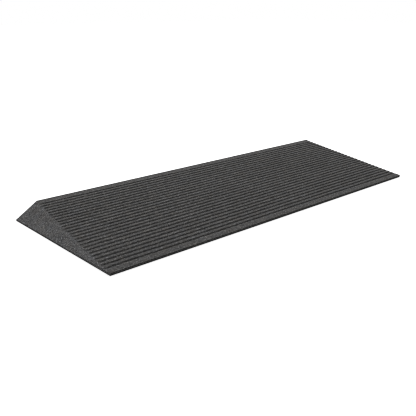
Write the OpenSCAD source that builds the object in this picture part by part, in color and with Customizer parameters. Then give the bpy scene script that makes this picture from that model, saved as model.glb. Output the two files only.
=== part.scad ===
// Doorway threshold ramp for wheelchairs: a wedge of bonded rubber crumb with a
// cross-ribbed running surface and two bevelled wings that flare out at the sill.
// Millimetres, +Z up. The origin is on the floor at the centre of the footprint.
// +Y runs uphill to the door sill and +X is to the right for a person going up.

/* [Ramp] */
// Clear width of the ribbed running surface, and of the front edge
deck_width = 914.4; // [600:0.1:1220]
// Length from the front edge to the sill face
ramp_length = 355.6; // [345:0.1:620]
// Height at the sill face
rise = 36.5; // [20:0.5:64]
// Height of the upright edge along the front
front_height = 5.6; // [4:0.1:7]
// Height each wing's outer edge thins down to at the sill
wing_tip_height = 2.8; // [2.5:0.1:5.5]
// How far each wing flares out at the sill, beyond the running surface
flare = 51.5; // [20:0.5:150]
// Thickness of the flat backing sheet under the whole ramp
base_thickness = 2; // [1.5:0.1:2.4]

/* [Tread] */
// Thickness of the ribbed wearing layer, measured square to the slope
tread_thickness = 10; // [7:0.5:15]
// Distance up the slope from the front edge to the centre of the first groove
front_margin = 19.6; // [10:0.1:25]
// Distance from one groove to the next
groove_pitch = 12.65; // [9:0.05:13]
// Number of grooves wanted; fewer are cut if the slope is too short
groove_limit = 26; // [6:1:26]
// Width of a groove below its eased lips
groove_width = 6.4; // [4:0.1:7]
// Width of a groove at its bottom
groove_bottom_width = 3.6; // [1:0.1:3.8]
// Depth of a groove, measured square to the slope
groove_depth = 3; // [1:0.1:3.4]
// Chamfer that breaks the top edges of each rib
rib_ease = 0.6; // [0.2:0.1:0.9]

/* [Hidden] */
crumb_grey = [0.33, 0.33, 0.335];
crumb_black = [0.10, 0.10, 0.105];

half_deck = deck_width / 2;
front_y = -ramp_length / 2;
sill_y = ramp_length / 2;
climb = rise - front_height;
slope_angle = atan2(climb, ramp_length);

// Plain strip kept between the last groove and the sill
sill_margin = 4;
groove_count = min(groove_limit, 1 + floor(
    (ramp_length - front_margin - groove_width / 2 - rib_ease - sill_margin) / groove_pitch));

// Groove depth, held back to leave some tread under the first groove, where it is thinnest
min_tread = 0.6;
cut_depth = min(groove_depth, front_height - base_thickness - min_tread
    + (front_margin - groove_width / 2) * sin(slope_angle));

// The core's top is the tread layer's underside: it leaves the base sheet at core_front_y
// and reaches core_height at the sill. Ahead of it the tread lies on the base sheet.
core_height = rise - tread_thickness / cos(slope_angle);
core_front_y = sill_y - (core_height - base_thickness) / tan(slope_angle);

// Cutters for the wings
blank_spare = 10;     // height of the uncut wing above the rise and base thickness
cutter_size = 1400;   // side of the block that clears all above the bevel
cutter_height = 300;
lip_spare = 1;        // how far a groove bar stands above the slope
bar_inset = 2;        // how far a groove bar starts inside the deck edge
bar_reach = 12;       // how far it runs out past the deck edge

// A point "along" the slope from the front edge and "depth" below it, as [y, z]
function on_slope(along, depth) = [
    front_y + along * cos(slope_angle) + depth * sin(slope_angle),
    front_height + along * sin(slope_angle) - depth * cos(slope_angle)];

// [y, z] outline of groove k from front lip to rear lip. Its 45-degree eased lips
// carry on to "above" over the slope.
function groove_outline(k, above = 0) =
    let (centre = front_margin + k * groove_pitch,
         half_mouth = groove_width / 2,
         half_lip = half_mouth + rib_ease + above,
         half_bottom = groove_bottom_width / 2)
    [on_slope(centre - half_lip, -above),
     on_slope(centre - half_mouth, rib_ease),
     on_slope(centre - half_bottom, cut_depth),
     on_slope(centre + half_bottom, cut_depth),
     on_slope(centre + half_mouth, rib_ease),
     on_slope(centre + half_lip, -above)];

// Lays a [y, z] outline along X
module along_x(left_x, right_x) {
    translate([left_x, 0, 0]) rotate([90, 0, 90])
        linear_extrude(height = right_x - left_x) children();
}

// Flat, full-footprint backing sheet, whose edge shows all round as a dark line
module base_sheet() {
    color(crumb_black) linear_extrude(height = base_thickness) polygon([
        [-half_deck, front_y], [half_deck, front_y],
        [half_deck + flare, sill_y], [-half_deck - flare, sill_y]]);
}

// Coarse filling wedge under the tread layer
module ramp_core() {
    color(crumb_black) along_x(-half_deck, half_deck) polygon([
        [core_front_y, base_thickness], [sill_y, base_thickness], [sill_y, core_height]]);
}

// Ribbed wearing layer
module tread_layer() {
    color(crumb_grey) along_x(-half_deck, half_deck) polygon(concat(
        [[front_y, base_thickness], [front_y, front_height]],
        [for (k = [0 : groove_count - 1], point = groove_outline(k)) point],
        [[sill_y, rise], [sill_y, core_height], [core_front_y, base_thickness]]));
}

// Bevelled wedge on the right. Its face falls from the ridge at the deck edge to an upright
// outer edge, and the grooves run out through it as notches.
module wing() {
    // Both top edges, as vectors from the wing's front corner, give the bevel's normal
    ridge = [0, ramp_length, climb];
    outer_edge = [flare, ramp_length, wing_tip_height - front_height];
    normal = cross(outer_edge, ridge);
    tilt = acos(normal[2] / norm(normal));
    turn = atan2(normal[1], normal[0]);
    difference() {
        translate([0, 0, base_thickness]) linear_extrude(height = rise + blank_spare)
            polygon([[half_deck, front_y], [half_deck + flare, sill_y], [half_deck, sill_y]]);
        translate([half_deck, front_y, front_height]) rotate([0, tilt, turn])
            translate([-cutter_size / 2, -cutter_size / 2, 0])
                cube([cutter_size, cutter_size, cutter_height]);
        // Raised lips keep the bars' corners off the ridge itself
        for (k = [0 : groove_count - 1])
            along_x(half_deck - bar_inset, half_deck + bar_reach)
                polygon(groove_outline(k, lip_spare));
    }
}

module left_wing() {
    color(crumb_grey) mirror([1, 0, 0]) wing();
}

module right_wing() {
    color(crumb_grey) wing();
}

base_sheet();
ramp_core();
tread_layer();
left_wing();
right_wing();
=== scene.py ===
"""A threshold ramp of bonded rubber crumb: a ribbed tread between two bevelled wings, on a
black backing sheet whose darker edge also stands in for the shade on the upright bottom edge,
with a black core under the tread that shows in the sill face.

It lies flat on z = 0. X runs across it, with the left wing at -X. The slope climbs along
+Y, from the thin front edge to the upright sill face at the back.
"""

import math
from itertools import product

import bmesh
import bpy
import numpy as np
from mathutils import Matrix, Vector


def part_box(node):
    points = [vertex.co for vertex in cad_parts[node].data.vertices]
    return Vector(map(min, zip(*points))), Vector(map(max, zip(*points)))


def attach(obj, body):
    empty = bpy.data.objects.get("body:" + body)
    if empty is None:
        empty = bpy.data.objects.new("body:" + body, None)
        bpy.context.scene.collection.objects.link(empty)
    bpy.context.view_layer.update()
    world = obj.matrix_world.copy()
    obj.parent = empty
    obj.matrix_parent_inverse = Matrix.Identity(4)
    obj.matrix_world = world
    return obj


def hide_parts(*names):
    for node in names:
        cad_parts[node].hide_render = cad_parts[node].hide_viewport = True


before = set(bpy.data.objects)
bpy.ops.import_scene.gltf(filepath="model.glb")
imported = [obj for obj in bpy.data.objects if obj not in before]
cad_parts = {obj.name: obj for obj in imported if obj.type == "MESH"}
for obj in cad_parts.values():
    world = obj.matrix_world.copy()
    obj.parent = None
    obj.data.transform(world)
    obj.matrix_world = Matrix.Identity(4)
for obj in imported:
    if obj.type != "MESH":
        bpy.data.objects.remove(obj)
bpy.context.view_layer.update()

# ---------------------------------------------------------------- driving sizes
MM = 0.001
tread_low, tread_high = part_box("tread_layer")
sheet_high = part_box("base_sheet")[1]
core_low, core_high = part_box("ramp_core")

HALF_TREAD = tread_high[0]  # half the width between the wings
HALF_SILL = sheet_high[0]  # half the width over the wings, at the sill
FRONT_Y, SILL_Y = tread_low[1], tread_high[1]
SHEET_TOP = sheet_high[2]
SILL_TOP = tread_high[2]
CORE_FRONT = core_low[1]
CORE_TOP = core_high[2]  # where the core meets the tread in the sill face
FRONT_TOP = 5.6 * MM  # height of the front edge
RIM_TOP = 2.8 * MM  # height of each wing's outer corner at the sill

CLIMB = SILL_TOP - FRONT_TOP
RUN = SILL_Y - FRONT_Y
FLARE = HALF_SILL - HALF_TREAD
SLOPE = math.atan2(CLIMB, RUN)
LENGTH = math.hypot(CLIMB, RUN)

GROOVE_PITCH = 12.65 * MM
GROOVE_COUNT = 26
GROOVE_DEPTH = 3.0 * MM
MARGIN = 19.6 * MM  # front edge to the first groove's centre
PLAIN_FRONT = MARGIN - 5 * MM  # length of the plain band at the front


# ---------------------------------------------------------------- seeded noise
def lattice(cells, seed):
    """A fixed pseudo-random number from 0 to 1 for each whole-number cell (N by 3)."""
    cell_x, cell_y, cell_z = cells.astype(np.int64).astype(np.uint64).T
    with np.errstate(over="ignore"):
        mixed = (
            cell_x * np.uint64(0x9E3779B185EBCA87)
            ^ cell_y * np.uint64(0xC2B2AE3D27D4EB4F)
            ^ cell_z * np.uint64(0x165667B19E3779F9)
            ^ np.uint64(seed * 7919 + 104729)
        )
        for factor in (0xFF51AFD7ED558CCD, 0xC4CEB9FE1A85EC53):
            mixed ^= mixed >> np.uint64(33)
            mixed *= np.uint64(factor)
        mixed ^= mixed >> np.uint64(33)
    return (mixed >> np.uint64(11)).astype(np.float64) / float(1 << 53)


def smooth_noise(points, size_mm, seed):
    """Smooth noise from -1 to 1 with lumps about size_mm across; points are in metres."""
    scaled = points / (size_mm * MM)
    cells = np.floor(scaled)
    blend = scaled - cells
    blend = blend * blend * (3 - 2 * blend)
    total = 0
    for corner in product((0, 1), repeat=3):
        share = np.where(corner, blend, 1 - blend)
        weight = share[:, 0] * share[:, 1] * share[:, 2]
        total = total + weight * lattice(cells + corner, seed)
    return 2 * total - 1


def granules(points, size_mm, seed):
    """Height from 0 to 1 of a bed of packed crumbs about size_mm across."""
    scaled = points / (size_mm * MM)
    cells = np.floor(scaled)
    nearest = np.full(len(points), 9.0)
    lift = np.zeros(len(points))
    for step in product((-1, 0, 1), repeat=3):
        cell = cells + step
        distance = sum(
            (cell[:, axis] + lattice(cell, seed + axis) - scaled[:, axis]) ** 2
            for axis in range(3)
        )
        nearer = distance < nearest
        nearest = np.where(nearer, distance, nearest)
        lift = np.where(nearer, lattice(cell, seed + 3), lift)
    return np.clip(1 - nearest, 0, 1) * (0.55 + 0.45 * lift)


def pits(points, grain_mm, depth_mm, seed):
    """How far, in metres, each point sinks between the crumbs."""
    return (1 - granules(points, grain_mm, seed)) * depth_mm * MM


def skin_drop(points, grain_mm, grain_depth, seed, lump_mm, lump_depth):
    """How far a moulded skin sinks for its crumbs and broad lumps; depths in and out in mm."""
    lumps = 0.5 + 0.5 * smooth_noise(points, lump_mm, seed=31)
    return grain_depth * (1 - granules(points, grain_mm, seed)) + lump_depth * lumps


# ---------------------------------------------------------------- the ribbed profile
# Half of one groove, from its bottom corner to its lip, in mm:
# (distance from the groove's centre, depth)
HALF_GROOVE = [(1.6, 2.93), (2.3, 2.1), (2.95, 0.95), (3.5, 0.27), (4.4, 0.02)]


def deck_rows():
    """Every row of the running surface, as distance up the slope and depth below it."""
    lip = HALF_GROOVE[-1][0] * MM
    front_band = MARGIN - lip
    sill_band = LENGTH - (MARGIN + (GROOVE_COUNT - 1) * GROOVE_PITCH + lip)
    steps = 8  # in each plain band
    rows = [(0.0, 0.0)]
    rows += [(front_band * k / steps, 0.0) for k in range(1, steps)]
    for groove in range(GROOVE_COUNT):
        centre = MARGIN + groove * GROOVE_PITCH
        rows += [(centre - away * MM, depth * MM) for away, depth in reversed(HALF_GROOVE)]
        rows.append((centre, GROOVE_DEPTH))
        rows += [(centre + away * MM, depth * MM) for away, depth in HALF_GROOVE]
        if groove < GROOVE_COUNT - 1:
            rows.append((centre + GROOVE_PITCH / 2, 0.0))
    rows += [(LENGTH - sill_band * k / steps, 0.0) for k in range(steps - 1, 0, -1)]
    rows.append((LENGTH, 0.0))
    return np.array(rows)


ROW_UP, ROW_DEPTH = deck_rows().T
ROW_COUNT = len(ROW_UP)


def deck_points(x, up, depth):
    """Points of the ribbed surface for an x, a distance up the slope and a depth, with
    wandering groove walls and a lumpy skin. The skin only ever goes down, so the surface
    stays within its own height."""
    flat = np.stack([x, up, np.zeros_like(x)], 1)
    # the grooves run a little shallower as they reach the ridge beside each wing
    ridge = np.clip((np.abs(x) - HALF_TREAD) / (3.2 * MM) + 1, 0, 1)
    depth = depth * (1 - 0.40 * ridge)
    depth_share = depth / GROOVE_DEPTH

    # the walls wander most, and the two ends of the slope not at all
    wander = (
        0.36 * smooth_noise(flat * [1, 0.55, 1], 7.5, seed=11)
        + 0.22 * smooth_noise(flat * [1, 0.8, 1], 3.6, seed=12)
    ) * MM
    inner = np.clip(np.minimum(up, LENGTH - up) / (6 * MM), 0, 1)
    wall = np.clip(1 - np.abs(depth_share - 0.4) / 0.75, 0, 1)
    up = up + wander * inner * (0.25 + 0.75 * wall)

    drop = MM * skin_drop(
        flat, grain_mm=4.2, grain_depth=0.28, seed=21, lump_mm=16, lump_depth=0.14
    )
    # the sill edge is nearly straight
    crisp = 0.35 + 0.65 * np.clip((LENGTH - flat[:, 1]) / (4 * MM), 0, 1)
    depth = depth + drop * (1 - 0.55 * depth_share) * crisp
    y = FRONT_Y + up * math.cos(SLOPE) + depth * math.sin(SLOPE)
    z = FRONT_TOP + up * math.sin(SLOPE) - depth * math.cos(SLOPE)
    return np.stack([x, y, z], 1)


# ---------------------------------------------------------------- mesh helpers
def add_mesh(name, verts, faces, sharp_degrees, attributes=None, weld=False):
    mesh = bpy.data.meshes.new(name)
    mesh.from_pydata(verts.tolist(), [], faces)
    for key, values in (attributes or {}).items():
        attribute = mesh.attributes.new(key, "FLOAT", "POINT")
        attribute.data.foreach_set("value", np.asarray(values, dtype=np.float32))
    if weld:  # rows that run together in a point share one vertex
        welder = bmesh.new()
        welder.from_mesh(mesh)
        bmesh.ops.remove_doubles(welder, verts=welder.verts, dist=2e-6)
        welder.to_mesh(mesh)
        welder.free()
    mesh.validate(verbose=False)
    mesh.update()
    mesh.polygons.foreach_set("use_smooth", [True] * len(mesh.polygons))
    mesh.set_sharp_from_angle(angle=math.radians(sharp_degrees))
    obj = bpy.data.objects.new(name, mesh)
    bpy.context.scene.collection.objects.link(obj)
    return obj


def loft_faces(columns, loop, flip=False):
    """Faces of a closed bar: quads between loops of vertices, and a cap at each end."""
    faces = []
    for column in range(columns):
        here, there = column * loop, (column + 1) * loop
        for j in range(loop):
            k = (j + 1) % loop
            quad = (here + j, there + j, there + k, here + k)
            faces.append(quad[:1] + quad[:0:-1] if flip else quad)
    turn = -1 if flip else 1
    faces.append(tuple(range(loop))[::turn])
    faces.append(tuple(range(columns * loop, (columns + 1) * loop))[::-turn])
    return faces


# Two attributes carry painted light and shade into the crumb colour: "groove" is the depth in
# a groove, from 0 to 1, and paints shade on the groove walls. "side" marks edges and bands:
# up to 0.6 it paints shade, and towards 1 it paints light on the upright faces.


# ---------------------------------------------------------------- tread surface
def build_tread():
    columns = 284
    # the loop round one column: front face, deck, sill face, then the flat underside
    deck_start = 2
    deck_end = deck_start + ROW_COUNT
    sill_heights = np.linspace(SILL_TOP, CORE_TOP, 5)[1:]
    loop = deck_end + len(sill_heights) + 1
    grid = np.zeros((columns + 1, loop, 3))
    groove = np.zeros((columns + 1, loop))
    side = np.zeros((columns + 1, loop))

    across = np.linspace(-HALF_TREAD, HALF_TREAD, columns + 1)
    grid[:, :, 0] = across[:, None]
    grid[:, 0, 1:] = FRONT_Y, SHEET_TOP
    grid[:, 1, 1:] = FRONT_Y, (SHEET_TOP + FRONT_TOP) / 2
    grid[:, 1, 1] += pits(grid[:, 1], grain_mm=3.4, depth_mm=0.35, seed=41)
    deck = deck_points(
        np.repeat(across, ROW_COUNT), np.tile(ROW_UP, columns + 1), np.tile(ROW_DEPTH, columns + 1)
    ).reshape(columns + 1, ROW_COUNT, 3)
    deck[:, 0, 1] = FRONT_Y
    grid[:, deck_start:deck_end] = deck
    for row, height in enumerate(sill_heights, start=deck_end):
        grid[:, row, 1:] = SILL_Y, height
        if row < loop - 2:  # the lowest row stays straight, against the core
            grid[:, row, 1] -= pits(grid[:, row], grain_mm=3.4, depth_mm=0.4, seed=42)
    grid[:, -1, 1:] = CORE_FRONT, SHEET_TOP

    groove[:, deck_start:deck_end] = ROW_DEPTH / GROOVE_DEPTH
    # painted shade: the plain front band and a band before the sill are darkened through "side"
    front_shade = np.clip((PLAIN_FRONT - ROW_UP) / (4 * MM), 0, 1) * 0.21
    sill_shade = np.clip((ROW_UP - LENGTH + 14 * MM) / (8 * MM), 0, 1) * 0.52
    # painted light on the upright front face; painted shade on the deck's first row and its row at
    # the sill
    side[:, :deck_start] = 1.0
    side[:, deck_start:deck_end] = np.maximum(front_shade, sill_shade)
    side[:, deck_start] = 0.3
    side[:, deck_end - 1] = 0.6
    # painted shade along the deck's right ridge
    right_ridge_painted_shade = side[-1, deck_start + 1 : deck_end - 1]
    right_ridge_painted_shade[:] = np.maximum(right_ridge_painted_shade, 0.25)
    # the plain front band's outer corners are darkened
    corner_end = deck_start + int(np.sum(ROW_UP < PLAIN_FRONT))
    side[[0, -1], deck_start:corner_end] = 0.6
    # the sill face rows are darkened a little, and the hidden row against the sheet takes the paler
    # value
    side[:, deck_end:-1] = 0.25
    side[:, -1] = 1.0

    attributes = {"groove": groove.reshape(-1), "side": side.reshape(-1)}
    faces = loft_faces(columns, loop)
    return add_mesh("tread_surface", grid.reshape(-1, 3), faces, 55, attributes)


# ---------------------------------------------------------------- bevelled wings
WING_COLUMNS = 40
WING_SILL_LEVELS = 8


def wing_top(side):
    """The wing's upper surface as rows by columns of points, and its groove values."""
    # columns are finer near the ridge, where the grooves run out
    spread = np.linspace(0, 1, WING_COLUMNS + 1)
    spread = 0.62 * spread + 0.38 * spread**1.9
    lowest = SHEET_TOP + 0.3 * MM
    grid = np.zeros((ROW_COUNT, WING_COLUMNS + 1, 3))
    groove = np.zeros((ROW_COUNT, WING_COLUMNS + 1))

    # the inner column follows the tread's edge
    seam = deck_points(np.full(ROW_COUNT, side * HALF_TREAD), ROW_UP, ROW_DEPTH)
    seam[[0, -1], 1] = FRONT_Y, SILL_Y
    seam[:, 2] = np.maximum(seam[:, 2], lowest)
    grid[:, 0] = seam
    groove[:, 0] = ROW_DEPTH / GROOVE_DEPTH

    nominal_y = FRONT_Y + ROW_UP * math.cos(SLOPE)
    nominal_share = np.clip((nominal_y - FRONT_Y) / RUN, 0, 1)
    for j in range(1, WING_COLUMNS + 1):
        out = spread[j]
        offset = FLARE * nominal_share * out
        cut = deck_points(side * (HALF_TREAD + offset), ROW_UP, ROW_DEPTH)
        # the rows' wandering dies away within 12 mm of the ridge
        fade = np.clip(1 - offset / (12 * MM), 0, 1)
        y = nominal_y + (cut[:, 1] - nominal_y) * fade
        y[[0, -1]] = FRONT_Y, SILL_Y
        share = np.clip((y - FRONT_Y) / RUN, 0, 1)
        x = side * (HALF_TREAD + FLARE * share * out)
        bevel = FRONT_TOP + (CLIMB * (1 - out) + (RIM_TOP - FRONT_TOP) * out) * share
        drop = skin_drop(
            np.stack([x, y, bevel], 1),
            grain_mm=3.1, grain_depth=0.42, seed=51, lump_mm=14, lump_depth=0.16,
        )
        rim = min(1.0, (1 - out) * 8)  # the outer edge stays straight
        skin = bevel - drop * MM * rim * np.clip(share * 30, 0, 1)
        # the grooves run on into the bevel until it drops below them
        z = np.maximum(np.minimum(skin, cut[:, 2]), lowest)
        grid[:, j] = np.stack([x, y, z], 1)
        groove[:, j] = np.clip((bevel - z - 0.7 * MM) / (GROOVE_DEPTH * 0.8), 0, 1)
    return grid, groove


def build_wing(name, side):
    """side is 1 for the right wing and -1 for the left."""
    columns, levels = WING_COLUMNS, WING_SILL_LEVELS
    width = columns + 1
    last = ROW_COUNT - 1
    row = np.arange(ROW_COUNT)
    grid, groove = wing_top(side)
    blocks = []

    def add_block(points, groove_values, side_values):
        """Add vertices with their attribute values; the result is the first one's index."""
        start = sum(len(block[0]) for block in blocks)
        count = len(points)
        blocks.append(
            (points, np.broadcast_to(groove_values, count), np.broadcast_to(side_values, count))
        )
        return start

    # top surface, with painted shade on the thin rim, deepening towards the sill
    top_painted_shade = np.zeros((ROW_COUNT, width))
    top_painted_shade[:, columns] = 0.6 * row / last
    top_painted_shade[:, columns - 1] = 0.2 * row / last
    add_block(grid.reshape(-1, 3), groove.reshape(-1), top_painted_shade.reshape(-1))

    # outer edge: a ragged middle row and a straight bottom row
    # painted light on the outer edge at the front, turning to painted shade towards the sill
    rim_painted_light_shade = 1.0 - 0.4 * row / last
    middle = grid[:, columns].copy()
    middle[:, 2] = (middle[:, 2] + SHEET_TOP) / 2
    ragged = pits(middle, grain_mm=3.0, depth_mm=0.35, seed=61)
    middle[:, 0] -= side * ragged * np.minimum(1.0, row / 6)
    middle_start = add_block(middle, 0.0, rim_painted_light_shade)
    low = grid[:, columns].copy()
    low[:, 2] = SHEET_TOP
    low_start = add_block(low, 0.0, rim_painted_light_shade)

    # bottom row under the ridge
    inner = grid[:, 0].copy()
    inner[:, 2] = SHEET_TOP
    # the inner wall under the ridge takes the paler "side" value: painted light
    inner_start = add_block(inner, 0.0, 1.0)

    # the sill face is a grid too, so its crumb is real relief
    height_share = 1 - np.arange(1, levels) / levels
    sill = np.repeat(grid[-1][None], levels - 1, axis=0)
    sill[:, :, 2] = SHEET_TOP + (sill[:, :, 2] - SHEET_TOP) * height_share[:, None]
    sill_inner = sill[:, 0].copy()
    relief = pits(sill.reshape(-1, 3), grain_mm=3.2, depth_mm=0.4, seed=42)
    sill[:, :, 1] -= relief.reshape(levels - 1, width)
    # the sill face is darkened a little by its "side" value
    face_start = add_block(sill[:, 1:-1].reshape(-1, 3), 0.0, 0.25)
    sill_inner_start = add_block(sill_inner, 0.0, 0.25)
    bottom = grid[-1, 1:-1].copy()
    bottom[:, 2] = SHEET_TOP
    bottom_start = add_block(bottom, 0.0, 0.25)

    def top(i, j):
        return i * width + j

    inner_column = range(sill_inner_start, sill_inner_start + levels - 1)
    bottom_row = range(bottom_start, bottom_start + columns - 1)
    # the sill face's vertices, level by level downwards, all but the outermost column
    between = columns - 1
    back = [[top(last, j) for j in range(columns)]]
    for k, first in enumerate(inner_column):
        back.append([first, *range(face_start + k * between, face_start + (k + 1) * between)])
    back.append([inner_start + last, *bottom_row])

    faces = []
    for i in range(last):
        for j in range(columns):
            faces.append((top(i, j), top(i, j + 1), top(i + 1, j + 1), top(i + 1, j)))
        mid, low, inn = middle_start + i, low_start + i, inner_start + i
        faces.append((top(i, columns), mid, mid + 1, top(i + 1, columns)))
        faces.append((mid, low, low + 1, mid + 1))
        # the inner wall and the underside take in the front tip and the sill face's edges
        tip = (middle_start,) if i == 0 else ()
        wall_end = inner_column if i == last - 1 else ()
        under_end = bottom_row if i == last - 1 else ()
        faces.append((top(i, 0), top(i + 1, 0), *wall_end, inn + 1, inn, *tip))
        faces.append((inn, inn + 1, *under_end, low + 1, low))
    for upper, lower in zip(back, back[1:]):
        for j in range(columns - 1):
            faces.append((upper[j], upper[j + 1], lower[j + 1], lower[j]))
    # the last, thin column of the sill face is one face
    tail = [level[-1] for level in reversed(back)]
    faces.append((top(last, columns), middle_start + last, low_start + last, *tail))
    if side < 0:
        faces = [face[::-1] for face in faces]

    verts, groove_values, side_values = (np.concatenate(parts) for parts in zip(*blocks))
    attributes = {"groove": groove_values, "side": side_values}
    return add_mesh(name, verts, faces, 60, attributes, weld=True)


# ---------------------------------------------------------------- backing sheet
def build_sheet():
    columns, rows = 300, 96
    width = columns + 1
    along = np.linspace(0, 1, rows + 1)
    half_widths = HALF_TREAD + FLARE * along
    lower = np.zeros((rows + 1, width, 3))
    lower[:, :, 0] = np.linspace(-1, 1, width) * half_widths[:, None]
    lower[:, :, 1] = (FRONT_Y + RUN * along)[:, None]
    lower = lower.reshape(-1, 3)
    upper = lower.copy()
    upper[:, 2] = SHEET_TOP
    count = len(lower)

    # the underside is a bed of crumb with a level border
    lower[:, 2] = pits(lower, grain_mm=5.0, depth_mm=0.45, seed=71)
    sill_row = rows * width
    border = [
        *range(columns),
        *range(columns, sill_row + columns, width),
        *range(sill_row + columns, sill_row, -1),
        *range(sill_row, 0, -width),
    ]
    lower[border, 2] = 0.0

    # a ragged row runs round the edge at half height
    middle = (lower[border] + upper[border]) / 2
    inward = pits(middle, grain_mm=3.6, depth_mm=0.5, seed=72)
    edge_x = HALF_TREAD + FLARE * (middle[:, 1] - FRONT_Y) / RUN
    at_side = np.abs(np.abs(middle[:, 0]) - edge_x) < 1e-6
    at_front = np.abs(middle[:, 1] - FRONT_Y) < 1e-6
    at_sill = np.abs(middle[:, 1] - SILL_Y) < 1e-6
    middle[:, 0] -= np.sign(middle[:, 0]) * inward * at_side
    middle[:, 1] += inward * at_front - inward * at_sill

    faces = []
    for i in range(rows):
        for j in range(columns):
            a = i * width + j
            b = count + a
            faces.append((a, a + width, a + width + 1, a + 1))
            faces.append((b, b + 1, b + width + 1, b + width))
    for q in range(len(border)):
        r = (q + 1) % len(border)
        mid_q, mid_r = 2 * count + q, 2 * count + r
        faces.append((border[q], border[r], mid_r, mid_q))
        faces.append((mid_q, mid_r, count + border[r], count + border[q]))
    return add_mesh("backing_sheet", np.concatenate([lower, upper, middle]), faces, 55)


# ---------------------------------------------------------------- core
def build_core():
    """A wedge with its crumb relief in the sill face."""
    columns, levels = 330, 9
    loop = levels + 2
    grid = np.zeros((columns + 1, loop, 3))
    grid[:, :, 0] = np.linspace(-HALF_TREAD, HALF_TREAD, columns + 1)[:, None]
    grid[:, :-1, 1] = SILL_Y
    grid[:, :-1, 2] = np.linspace(SHEET_TOP, CORE_TOP, levels + 1)
    for k in range(1, levels):
        grid[:, k, 1] -= pits(grid[:, k], grain_mm=4.6, depth_mm=1.0, seed=81)
    grid[:, -1, 1:] = CORE_FRONT, SHEET_TOP
    return add_mesh("core_fill", grid.reshape(-1, 3), loft_faces(columns, loop, flip=True), 60)


# ---------------------------------------------------------------- shader helpers
WHITE = (1, 1, 1, 1)


def node(tree, kind, inputs=None, **settings):
    """A new node; inputs maps a socket's name or index to a value or a socket to link."""
    made = tree.nodes.new(kind)
    for key, value in settings.items():
        setattr(made, key, value)
    for key, value in (inputs or {}).items():
        if isinstance(value, bpy.types.NodeSocket):
            tree.links.new(value, made.inputs[key])
        else:
            made.inputs[key].default_value = value
    return made


def math_node(tree, operation, *values):
    return node(tree, "ShaderNodeMath", dict(enumerate(values)), operation=operation).outputs[0]


def ramp(tree, factor, stops):
    """A colour ramp; each stop is (position, colour)."""
    made = node(tree, "ShaderNodeValToRGB", {0: factor})
    elements = made.color_ramp.elements
    elements[0].position, elements[0].color = stops[0]
    elements[1].position, elements[1].color = stops[-1]
    for position, colour in stops[1:-1]:
        elements.new(position).color = colour
    return made.outputs[0]


def grey_ramp(tree, factor, stops, tint=(1, 1, 1)):
    """A ramp of tinted greys; each stop is (position, brightness)."""
    coloured = [(at, (*(level * channel for channel in tint), 1)) for at, level in stops]
    return ramp(tree, factor, coloured)


def multiply(tree, amount, base, shade):
    return node(
        tree, "ShaderNodeMix", {0: amount, 6: base, 7: shade},
        data_type="RGBA", blend_type="MULTIPLY", clamp_factor=True,
    ).outputs[2]


def empty_tree(owner):
    owner.use_nodes = True
    owner.node_tree.nodes.clear()
    return owner.node_tree


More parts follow.
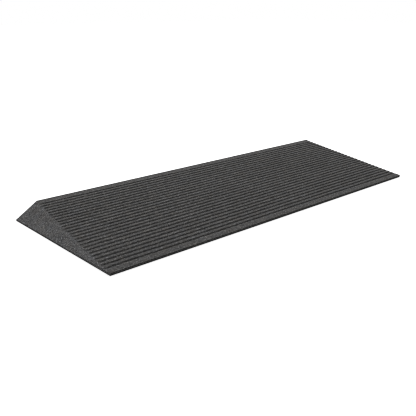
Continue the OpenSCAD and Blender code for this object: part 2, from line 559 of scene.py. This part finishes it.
# ---------------------------------------------------------------- crumb materials
def crumb_material(
    name, dark, mid, light, crumb_mm, bump, tint=(1, 1, 1), fines=0.36, shaded=True
):
    """Bonded rubber crumb: packed grains of several greys with dark gaps between them.

    dark, mid and light are the grains' greys, and fines is the contrast of the small
    crumbs. A shaded material also multiplies in the painted shade and painted light that
    the "groove" and "side" attributes carry.
    """
    material = bpy.data.materials.new(name)
    tree = empty_tree(material)
    output = node(tree, "ShaderNodeOutputMaterial")
    bsdf = node(tree, "ShaderNodeBsdfPrincipled", {"Specular IOR Level": 0.28})
    tree.links.new(bsdf.outputs[0], output.inputs[0])
    place = node(tree, "ShaderNodeTexCoord").outputs["Object"]

    # grains are pushed about by a little noise, so no cell looks like a clean polygon
    warp = node(tree, "ShaderNodeTexNoise", {"Vector": place, "Scale": 900.0, "Detail": 2.0})
    warped = node(
        tree, "ShaderNodeVectorMath",
        {0: warp.outputs["Color"], 1: (crumb_mm * 0.0007,) * 3, 2: place},
        operation="MULTIPLY_ADD",
    ).outputs[0]

    grain_scale = 1000.0 / crumb_mm
    grain = node(
        tree, "ShaderNodeTexVoronoi", {"Vector": warped, "Scale": grain_scale, "Randomness": 1.0}
    )
    fine = node(
        tree, "ShaderNodeTexVoronoi", {"Vector": warped, "Scale": 1000.0 / (crumb_mm * 0.45)}
    )
    gap = node(
        tree, "ShaderNodeTexVoronoi", {"Vector": warped, "Scale": grain_scale},
        feature="DISTANCE_TO_EDGE",
    )
    broad = node(
        tree, "ShaderNodeTexNoise",
        {"Vector": place, "Scale": 22.0, "Detail": 4.0, "Roughness": 0.6},
    )
    cast = node(tree, "ShaderNodeTexNoise", {"Vector": place, "Scale": 60.0, "Detail": 3.0})
    grain_random = node(tree, "ShaderNodeSeparateColor", {0: grain.outputs["Color"]}).outputs
    fine_random = node(tree, "ShaderNodeSeparateColor", {0: fine.outputs["Color"]}).outputs

    # each grain has its own grey: a few black, most mid, some pale
    colour = grey_ramp(
        tree, grain_random[0],
        [
            (0.0, dark), (0.16, dark * 1.25), (0.30, mid * 0.86),
            (0.72, mid * 1.08), (0.9, light), (1.0, light * 1.3),
        ],
        tint,
    )
    small = grey_ramp(tree, fine_random[1], [(0.0, 0.98 - fines), (0.5, 0.98), (1.0, 0.98 + fines)])
    colour = multiply(tree, 0.75, colour, small)
    # a faint warm or cool cast from patch to patch
    cool, warm = (0.95, 0.99, 1.06, 1), (1.06, 1.0, 0.93, 1)
    tinge = ramp(tree, cast.outputs["Fac"], [(0.3, cool), (0.5, WHITE), (0.7, warm)])
    colour = multiply(tree, 0.55, colour, tinge)
    patch = grey_ramp(tree, broad.outputs["Fac"], [(0.25, 0.88), (0.75, 1.12)])
    colour = multiply(tree, 0.8, colour, patch)
    # painted shade in the gaps between the grains
    gap_shade = grey_ramp(tree, gap.outputs["Distance"], [(0.0, 0.45), (0.12, 1.0)])
    colour = multiply(tree, 0.55, colour, gap_shade)

    # painted shade on the groove walls and along edge bands, and painted light on upright faces
    painted_attribute_shades = {
        "groove": [(0.0, 1.0), (0.09, 0.96), (0.32, 0.80), (0.70, 0.775), (0.93, 0.96), (1.0, 1.0)],
        "side": [(0.0, 1.0), (0.3, 0.80), (0.6, 0.68), (1.0, 1.5)],
    }
    if shaded:
        for attribute_name, stops in painted_attribute_shades.items():
            value = node(tree, "ShaderNodeAttribute", attribute_name=attribute_name)
            shade = grey_ramp(tree, value.outputs["Fac"], stops)
            colour = multiply(tree, 1.0, colour, shade)
    tree.links.new(colour, bsdf.inputs["Base Color"])

    # roughness runs from 0.78 to 0.94, grain by grain
    roughness = math_node(tree, "MULTIPLY_ADD", grain_random[2], 0.16, 0.78)
    tree.links.new(roughness, bsdf.inputs["Roughness"])

    # relief: round grains at different heights, and smaller crumbs on top
    dome = math_node(tree, "SUBTRACT", 1.0, grain.outputs["Distance"])
    small_dome = math_node(tree, "SUBTRACT", 1.0, fine.outputs["Distance"])
    height = math_node(tree, "ADD", dome, math_node(tree, "MULTIPLY", small_dome, 0.4))
    lift = math_node(tree, "MULTIPLY", grain_random[1], 0.55)
    height = math_node(tree, "ADD", height, lift)
    relief = node(
        tree, "ShaderNodeBump",
        {"Strength": bump, "Distance": crumb_mm * 0.00042, "Height": height},
    )
    tree.links.new(relief.outputs[0], bsdf.inputs["Normal"])
    return material


grey_deck = crumb_material(
    "grey_crumb_deck", dark=0.0335, mid=0.0700, light=0.116, crumb_mm=2.1, bump=0.42,
    tint=(1.032, 1.009, 0.990), fines=0.27,
)
# painted light: the wings use a paler copy of the deck's grey crumb, for the light that falls on
# them
grey_wing_painted_lighter = crumb_material(
    "grey_crumb_wing_painted_light", dark=0.033, mid=0.081, light=0.138, crumb_mm=2.1, bump=0.5,
    tint=(1.030, 1.018, 1.030),
)
# the backing sheet's darker crumb is also painted shade for the dark line along the upright bottom
# edge
black_sheet_painted_edge_shade = crumb_material(
    "black_crumb_sheet_painted_edge_shade", dark=0.022, mid=0.052, light=0.088, crumb_mm=2.4, bump=0.6, shaded=False
)
black_core = crumb_material(
    "black_crumb_core", dark=0.010, mid=0.026, light=0.060, crumb_mm=3.2, bump=0.8, shaded=False
)

# ---------------------------------------------------------------- build and ride
for obj, cad_piece, slot, material in (
    (build_tread(), "tread_layer", "grey_crumb", grey_deck),
    (build_wing("wing_left", -1), "left_wing", "grey_crumb", grey_wing_painted_lighter),
    (build_wing("wing_right", 1), "right_wing", "grey_crumb", grey_wing_painted_lighter),
    (build_sheet(), "base_sheet", "black_crumb", black_sheet_painted_edge_shade),
    (build_core(), "ramp_core", "black_crumb", black_core),
):
    obj.data.materials.append(material)
    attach(obj, "root")
    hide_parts(cad_piece)


# ---------------------------------------------------------------- floor, world and lights
def floor_material():
    """To the camera, a glow that rises to white with distance, plus the shading;
    to all other rays, a dull grey."""
    material = bpy.data.materials.new("studio_floor")
    tree = empty_tree(material)
    position = node(tree, "ShaderNodeNewGeometry").outputs["Position"]
    distance = node(tree, "ShaderNodeVectorMath", {0: position}, operation="LENGTH")
    # inputs 1 to 4: from 0.8 m to 2.4 m out, the strength goes from 0.62 to 1
    fade = node(
        tree, "ShaderNodeMapRange",
        {0: distance.outputs["Value"], 1: 0.8, 2: 2.4, 3: 0.62, 4: 1.0},
        interpolation_type="SMOOTHSTEP",
    )
    glow = node(tree, "ShaderNodeEmission", {"Color": WHITE, "Strength": fade.outputs[0]})
    soft = node(tree, "ShaderNodeBsdfDiffuse", {"Color": (0.5, 0.5, 0.5, 1)})
    seen = node(tree, "ShaderNodeAddShader", {0: glow.outputs[0], 1: soft.outputs[0]})
    dull = node(tree, "ShaderNodeBsdfDiffuse", {"Color": (0.22, 0.22, 0.22, 1)})
    camera_ray = node(tree, "ShaderNodeLightPath").outputs["Is Camera Ray"]
    pick = node(
        tree, "ShaderNodeMixShader", {0: camera_ray, 1: dull.outputs[0], 2: seen.outputs[0]}
    )
    node(tree, "ShaderNodeOutputMaterial", {0: pick.outputs[0]})
    return material


def build_world():
    """White to the camera, and a weaker white light on everything else."""
    world = bpy.data.worlds.new("studio")
    bpy.context.scene.world = world
    tree = empty_tree(world)
    seen = node(tree, "ShaderNodeBackground", {"Color": WHITE, "Strength": 1.0})
    lighting = node(tree, "ShaderNodeBackground", {"Color": WHITE, "Strength": 0.30})
    camera_ray = node(tree, "ShaderNodeLightPath").outputs["Is Camera Ray"]
    pick = node(
        tree, "ShaderNodeMixShader", {0: camera_ray, 1: lighting.outputs[0], 2: seen.outputs[0]}
    )
    node(tree, "ShaderNodeOutputWorld", {0: pick.outputs[0]})


def softbox(name, location, size, power):
    """A rectangular area light aimed at the origin."""
    light = bpy.data.lights.new(name, "AREA")
    light.shape = "RECTANGLE"
    light.size, light.size_y = size
    light.energy = power
    obj = bpy.data.objects.new(name, light)
    obj.location = location
    obj.rotation_mode = "QUATERNION"
    obj.rotation_quaternion = (-Vector(location)).to_track_quat("-Z", "Y")
    bpy.context.scene.collection.objects.link(obj)


bpy.ops.mesh.primitive_plane_add(size=24, location=(0, 0, -0.0004))
floor = bpy.context.object
floor.name = "studio_floor"
floor.data.materials.append(floor_material())
build_world()
softbox("softbox_top", location=(0.45, 0.9, 2.3), size=(2.6, 2.0), power=68)
softbox("softbox_left", location=(-2.6, 0.1, 1.5), size=(1.6, 1.4), power=20)

# ---------------------------------------------------------------- camera
# It looks from the left front, from a little above. Its place is measured from an anchor
# on the floor, in tread widths.
TREAD_WIDTH = 2 * HALF_TREAD
AZIMUTH, ELEVATION, ROLL = (math.radians(angle) for angle in (37.779, 22.170, -0.019))
ANCHOR = Vector((0, FRONT_Y + 0.3 * TREAD_WIDTH, 0))
SHIFT_RIGHT, SHIFT_UP, DISTANCE = -0.01783, -0.07057, 1.48770


def build_camera():
    forward = Vector((
        math.sin(AZIMUTH) * math.cos(ELEVATION),
        math.cos(AZIMUTH) * math.cos(ELEVATION),
        -math.sin(ELEVATION),
    ))
    level = Vector((math.cos(AZIMUTH), -math.sin(AZIMUTH), 0))
    right = level * math.cos(ROLL) + level.cross(forward) * math.sin(ROLL)
    up = right.cross(forward)
    place = (
        ANCHOR
        + right * (SHIFT_RIGHT * TREAD_WIDTH)
        + up * (SHIFT_UP * TREAD_WIDTH)
        - forward * (DISTANCE * TREAD_WIDTH)
    )
    data = bpy.data.cameras.new("camera")
    data.sensor_width = 36
    data.lens = 43.10
    data.clip_start, data.clip_end = 0.05, 60
    camera = bpy.data.objects.new("camera", data)
    turn = Matrix((right, up, -forward)).transposed()
    camera.matrix_world = Matrix.Translation(place) @ turn.to_4x4()
    bpy.context.scene.collection.objects.link(camera)
    bpy.context.scene.camera = camera


build_camera()
bpy.context.scene.view_settings.view_transform = "Standard"
bpy.context.scene.cycles.filter_width = 1.1  # a crisp lens
